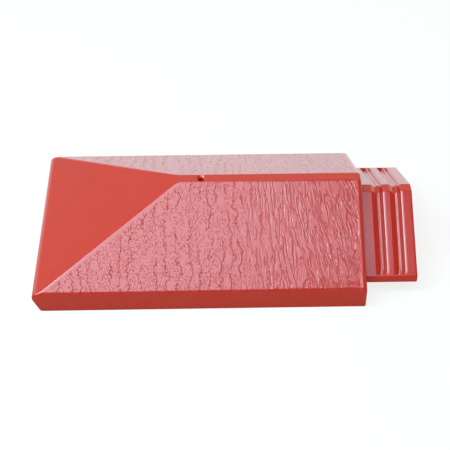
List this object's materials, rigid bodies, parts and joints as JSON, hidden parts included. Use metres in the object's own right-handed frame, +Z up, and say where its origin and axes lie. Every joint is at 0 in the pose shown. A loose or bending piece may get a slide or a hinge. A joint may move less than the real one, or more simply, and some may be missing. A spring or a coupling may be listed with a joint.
{
  "type": "eaves tile",
  "caption": "Hipped starter ridge tile of glazed ceramic with slate-textured flanks, side skirts, a nail hole and a channelled spigot for the next tile.",
  "frame": {"origin": "middle of the tile's box, at the foot of the skirts that it lies on", "axes": "+X along the ridge from the hipped end to the spigot, +Y across the ridge, +Z up from the foot of the skirts"},
  "size_m": [0.3882, 0.21, 0.0824],
  "materials": {
    "glazed_clay": "glossy brick-red glaze over a slate-textured face"
  },
  "bodies": {
    "root": {"eaves_tile": "glazed_clay"}
  },
  "joints": []
}
